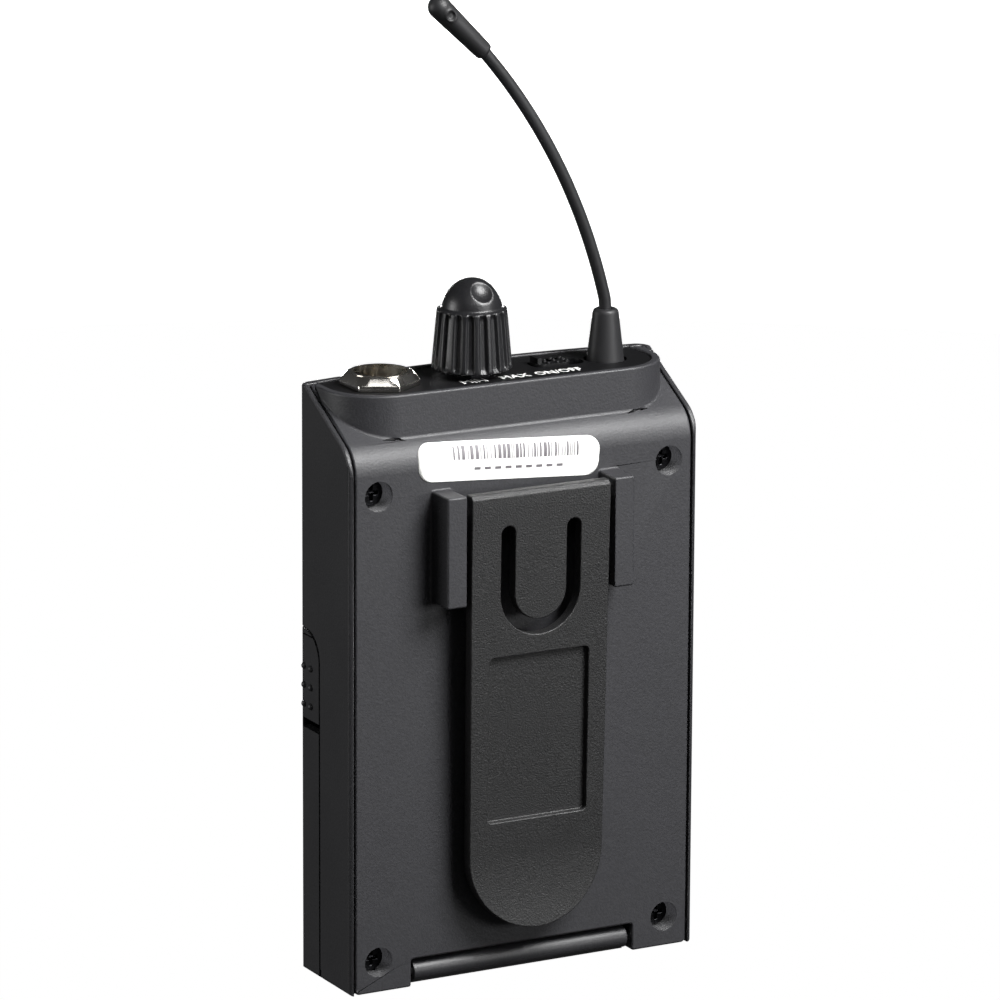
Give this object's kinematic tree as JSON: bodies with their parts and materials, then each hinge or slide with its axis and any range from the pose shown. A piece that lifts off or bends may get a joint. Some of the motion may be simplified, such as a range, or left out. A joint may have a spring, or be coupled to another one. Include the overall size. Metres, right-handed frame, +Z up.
{
  "type": "wireless microphone bodypack transmitter",
  "caption": "Belt-worn radio transmitter: flat case with sprung belt clip, level knob, slide switch, microphone socket, bent whip antenna and a hinged battery door.",
  "frame": {"origin": "centre of the bounding box at the bottom of the case", "axes": "+Z up towards the antenna, -Y out of the rear cover on the belt-clip side, +X towards the antenna side"},
  "size_m": [0.0672, 0.0274, 0.1661],
  "materials": {
    "shell_black": "satin",
    "cover_black": "satin",
    "panel_black": "satin",
    "clip_black": "grained",
    "knob_black": "semi-gloss",
    "mark_white": "printed",
    "label_white": "printed label",
    "steel": "satin",
    "spring_steel": "bright",
    "screw_black": "black oxide",
    "nickel": "nickel plate",
    "gold": "gold plate",
    "brass": "machined",
    "rubber_black": "satin",
    "foam_grey": "foam",
    "insulator": "moulded",
    "pot_grey": "plated can",
    "board_green": "solder mask",
    "tin": "tinned",
    "chip_black": "moulded",
    "cell_sleeve": "printed sleeve",
    "lead_red": "insulated lead",
    "lead_blue": "insulated lead"
  },
  "bodies": {
    "case": {"front_shell": "shell_black", "rear_cover": "cover_black", "top_panel": "panel_black", "panel_marks": "mark_white", "hinge_pin": "steel", "clip_pin": "steel", "clip_spring": "spring_steel", "label": "label_white", "case_screws": "screw_black", "pot_body": "pot_grey", "pot_nut": "screw_black", "switch_body": "pot_grey", "mic_socket_shell": "nickel", "mic_hex_nut": "nickel", "mic_insulator": "insulator", "mic_pins": "gold", "antenna_boot": "rubber_black", "antenna_whip": "rubber_black", "antenna_tip": "rubber_black", "antenna_ferrule": "brass", "main_board": "board_green", "rf_shield": "tin", "board_chips": "chip_black", "board_screws": "steel", "battery_left": "cell_sleeve", "battery_right": "cell_sleeve", "contact_springs": "spring_steel", "contact_plates": "spring_steel", "battery_leads": "lead_red", "socket_leads": "lead_blue"},
    "door": {"battery_door": "shell_black", "door_pad": "foam_grey", "latch_springs": "spring_steel"},
    "latch_left": {"latch_button_left": "shell_black"},
    "latch_right": {"latch_button_right": "shell_black"},
    "clip": {"belt_clip": "clip_black"},
    "knob": {"gain_knob": "knob_black", "pot_shaft": "steel"},
    "switch": {"switch_button": "panel_black"}
  },
  "joints": [
    {"name": "door_hinge", "type": "hinge", "parent": "case", "child": "door", "pos_m": [0, -0.0057, 0.0022], "axis": [-1, 0, 0], "range_deg": [0, 100]},
    {"name": "latch_left_press", "type": "slide", "parent": "door", "child": "latch_left", "axis": [1, 0, 0], "range_m": [0, 0.0012], "stiffness_N_per_m": 400, "springref_m": -0.0005, "deforming": ["latch_springs"]},
    {"name": "latch_right_press", "type": "slide", "parent": "door", "child": "latch_right", "axis": [-1, 0, 0], "range_m": [0, 0.0012], "stiffness_N_per_m": 400, "springref_m": -0.0005},
    {"name": "knob_turn", "type": "hinge", "parent": "case", "child": "knob", "pos_m": [-0.0037, 0.0044, 0.103], "axis": [0, 0, 1], "range_deg": [-20, 280]},
    {"name": "power_slide", "type": "slide", "parent": "case", "child": "switch", "axis": [1, 0, 0], "range_m": [0, 0.0025]},
    {"name": "clip_hinge", "type": "hinge", "parent": "case", "child": "clip", "pos_m": [0, -0.0108, 0.082], "axis": [-1, 0, 0], "range_deg": [0, 18], "stiffness_Nm_per_rad": 0.15, "springref_deg": -11.46, "deforming": ["clip_spring"]}
  ]
}
